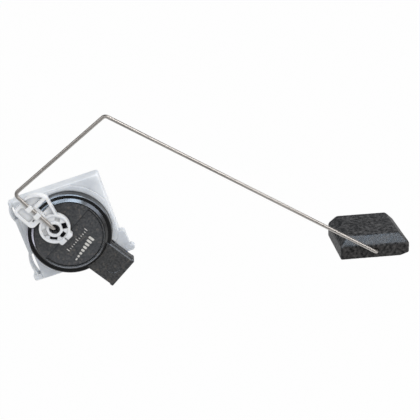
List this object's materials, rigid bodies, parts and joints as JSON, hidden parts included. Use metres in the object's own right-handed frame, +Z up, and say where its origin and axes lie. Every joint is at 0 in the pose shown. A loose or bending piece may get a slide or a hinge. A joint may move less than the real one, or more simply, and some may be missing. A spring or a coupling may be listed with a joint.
{
  "type": "fuel level sender",
  "caption": "Fuel level sender: round sealed sensor in a snap-in plastic carrier, with a turning lever, a bent wire arm and a foam float.",
  "frame": {"origin": "centre of the sensor housing's flat rear face, in the plane of the carrier's back", "axes": "+Z up, +X towards the float's side, +Y out of the back into the depth; the sensor's face looks towards -Y"},
  "size_m": [0.227, 0.0543, 0.1456],
  "materials": {
    "natural_acetal": "translucent, satin moulded",
    "white_acetal": "satin moulded",
    "black_plastic": "fine moulded grain",
    "seal_rubber": "smooth",
    "board_laminate": "lacquered",
    "chip_resin": "moulded",
    "capacitor_body": "fired",
    "tinned_metal": "tin plated",
    "sealant_resin": "cast",
    "ferrite": "sintered",
    "steel_sheet": "stamped",
    "stainless_wire": "drawn",
    "float_foam": "closed-cell, fine pores"
  },
  "bodies": {
    "sender_base": {"carrier": "natural_acetal", "sensor_housing": "black_plastic", "sensor_lid": "black_plastic", "lid_seal": "seal_rubber", "circuit_board": "board_laminate", "hall_sensor": "chip_resin", "hall_sensor_legs": "tinned_metal", "capacitors": "capacitor_body", "resistors": "chip_resin", "terminal_ground": "tinned_metal", "terminal_signal": "tinned_metal", "terminal_supply": "tinned_metal", "solder_joints": "tinned_metal", "terminal_sealant": "sealant_resin"},
    "arm": {"lever": "white_acetal", "magnet_ring": "ferrite", "flux_ring": "steel_sheet", "float_arm": "stainless_wire", "float_retainer": "white_acetal"},
    "float": {"float_body": "float_foam"}
  },
  "joints": [
    {"name": "arm_swing", "type": "hinge", "parent": "sender_base", "child": "arm", "pos_m": [-0.006, 0, 0.0086], "axis": [0, -1, 0], "range_deg": [0, 78]},
    {"name": "float_swivel", "type": "hinge", "parent": "arm", "child": "float", "pos_m": [0.17364, 0, -0.0722], "axis": [0, -1, 0], "continuous": true}
  ]
}
